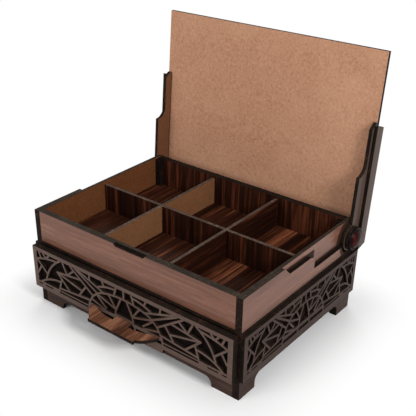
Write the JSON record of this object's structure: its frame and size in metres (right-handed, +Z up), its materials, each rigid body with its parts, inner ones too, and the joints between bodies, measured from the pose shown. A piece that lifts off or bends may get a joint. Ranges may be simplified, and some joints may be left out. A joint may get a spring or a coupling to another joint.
{
  "type": "jewelry box with drawer",
  "caption": "Free-standing wooden jewelry box with fretwork sides, a divided tray under a lid on side arms, and a drawer with a shaped pull in the base.",
  "frame": {"origin": "middle of the whole box seen from above, handle and open lid included, on the surface that it stands on; the carcase's own middle lies 3 mm behind it", "axes": "+X to the right along the front, +Y towards the back, +Z up; the front with the drawer faces -Y; the lid is stored open and the drawer shut"},
  "size_m": [0.231, 0.2066, 0.2224],
  "materials": {
    "dark_veneer": "satin dark walnut veneer with burnt edges",
    "fret_veneer": "satin grey-brown veneer with burnt edges",
    "floor_veneer": "striped dark veneer",
    "half_veneer": "dark veneer on one face, raw fibreboard on the other",
    "lid_board": "matte raw fibreboard inside, veneer outside",
    "black_board": "matte black",
    "handle_veneer": "satin striped veneer",
    "bezel_varnish": "glossy varnished ring",
    "red_stone": "polished dark red cabochon",
    "pin_metal": "plain steel"
  },
  "bodies": {
    "carcase": {"base_side_inner_left": "dark_veneer", "base_side_inner_right": "dark_veneer", "base_side_outer_left": "dark_veneer", "base_side_outer_right": "dark_veneer", "side_fretwork_left": "fret_veneer", "side_fretwork_right": "fret_veneer", "front_skirt": "dark_veneer", "base_back": "dark_veneer", "base_floor": "floor_veneer", "top_plate": "floor_veneer", "tray_side_inner_left": "half_veneer", "tray_side_inner_right": "dark_veneer", "tray_side_outer_left": "dark_veneer", "tray_side_outer_right": "dark_veneer", "tray_front_outer": "dark_veneer", "tray_front_inner": "dark_veneer", "tray_back_inner": "dark_veneer", "tray_back_outer": "dark_veneer", "corner_post_left": "black_board", "corner_post_right": "black_board", "long_divider": "dark_veneer", "cross_divider_left": "half_veneer", "cross_divider_right": "dark_veneer", "pivot_pins": "pin_metal"},
    "lid": {"lid_panel": "lid_board", "arm_inner_left": "dark_veneer", "arm_inner_right": "dark_veneer", "arm_strip_left": "dark_veneer", "arm_strip_right": "dark_veneer", "hub_disc_left": "black_board", "hub_disc_right": "black_board", "bezels": "bezel_varnish", "gems": "red_stone"},
    "drawer": {"drawer_floor": "floor_veneer", "drawer_side_left": "dark_veneer", "drawer_side_right": "dark_veneer", "drawer_inner_front": "dark_veneer", "drawer_back": "dark_veneer", "drawer_front_board": "black_board", "drawer_fretwork": "fret_veneer", "drawer_handle": "handle_veneer"}
  },
  "joints": [
    {"name": "lid_hinge", "type": "hinge", "parent": "carcase", "child": "lid", "pos_m": [0, 0.0738, 0.0736], "axis": [1, 0, 0], "range_deg": [0, 94]},
    {"name": "drawer_slide", "type": "slide", "parent": "carcase", "child": "drawer", "axis": [0, -1, 0], "range_m": [0, 0.11]}
  ]
}
